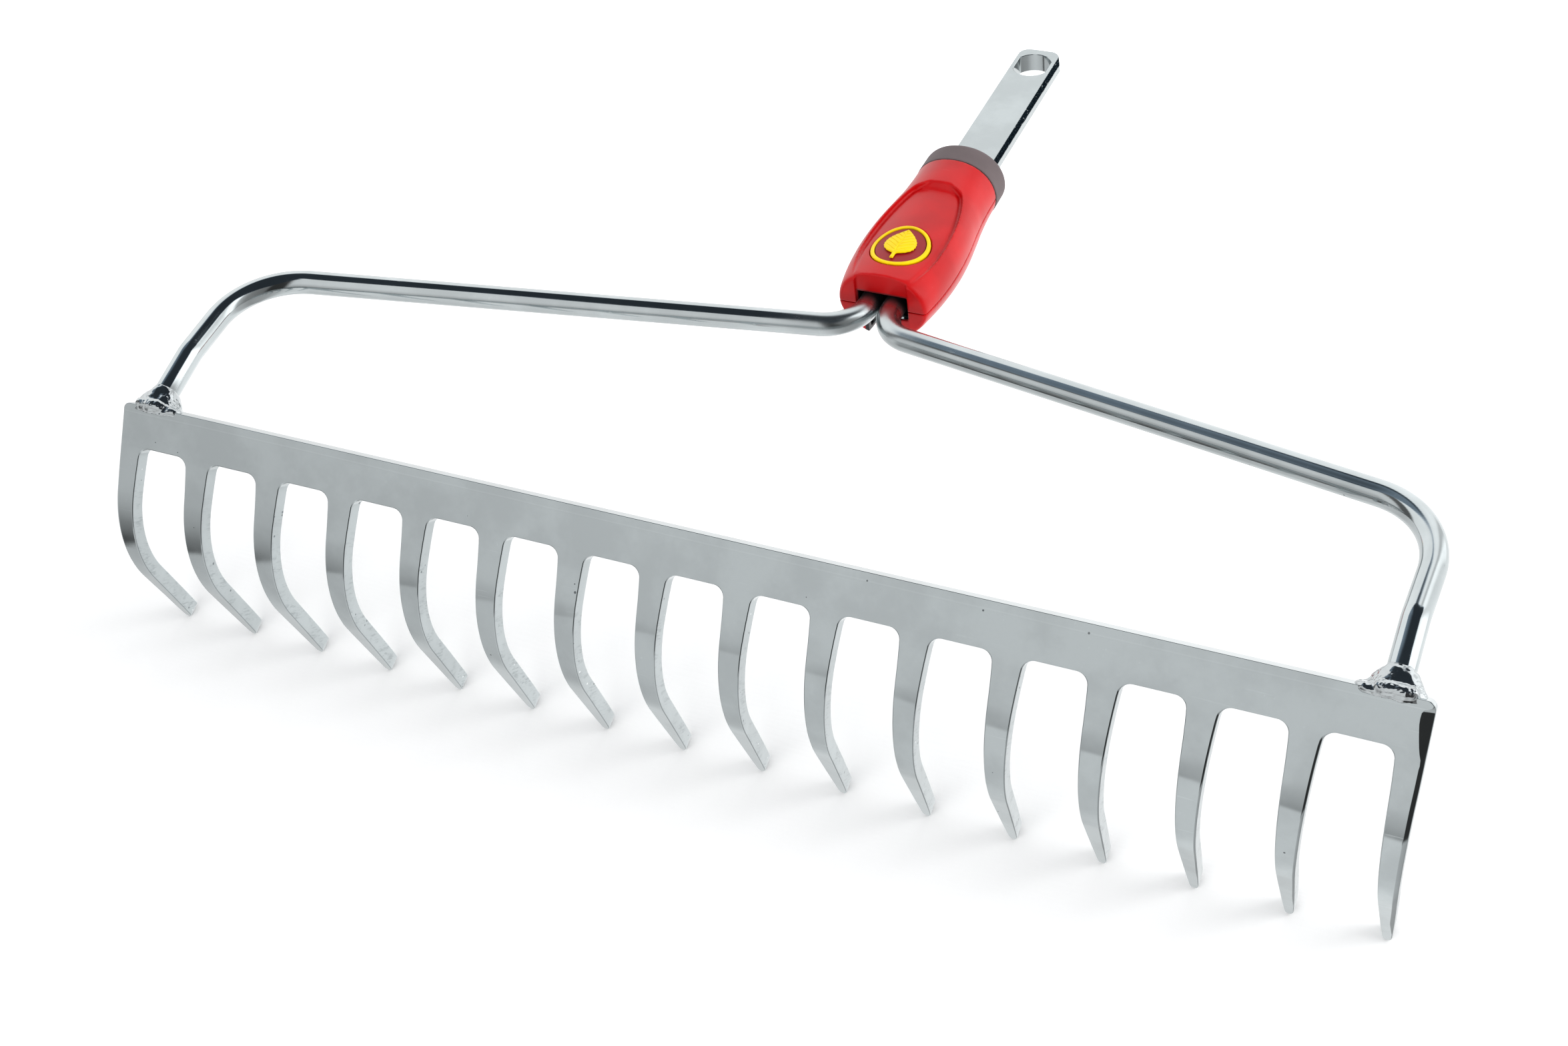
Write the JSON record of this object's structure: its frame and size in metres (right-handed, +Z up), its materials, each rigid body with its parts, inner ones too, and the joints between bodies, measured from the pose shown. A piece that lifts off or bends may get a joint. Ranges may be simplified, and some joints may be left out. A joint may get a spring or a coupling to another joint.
{
  "type": "bow rake head",
  "caption": "Steel bow rake head: toothed blade, bent round-rod bow, plastic covered joint and a flat quick-change tang with a locking hole.",
  "frame": {"origin": "middle of the footprint, at floor level, with the head put down on the points of its tines and the end of its tang", "axes": "+X along the blade, to the right as seen from the blade side; +Y from the blade towards the end of the tang; +Z up"},
  "size_m": [0.419, 0.3238, 0.0862],
  "materials": {
    "blade_steel": "bright nickel plate over stamped steel",
    "rod_steel": "bright nickel plate",
    "tang_steel": "satin nickel plate",
    "weld_metal": "plated weld bead",
    "red_plastic": "satin moulded plastic",
    "grey_plastic": "matt moulded plastic",
    "dark_red_plastic": "gloss",
    "yellow_plastic": "gloss",
    "screw_steel": "zinc plate"
  },
  "bodies": {
    "root": {"rake_blade": "blade_steel", "bow_rod_left": "rod_steel", "bow_rod_right": "rod_steel", "blade_weld_left": "weld_metal", "blade_weld_right": "weld_metal", "tang": "tang_steel", "rod_weld_left": "weld_metal", "rod_weld_right": "weld_metal", "rod_seam_weld": "weld_metal", "housing_upper_shell": "red_plastic", "housing_lower_shell": "red_plastic", "end_collar": "grey_plastic", "emblem_base": "dark_red_plastic", "emblem_ring": "yellow_plastic", "emblem_motif": "yellow_plastic", "housing_screw_rear": "screw_steel", "housing_screw_left": "screw_steel", "housing_screw_right": "screw_steel"}
  },
  "joints": []
}
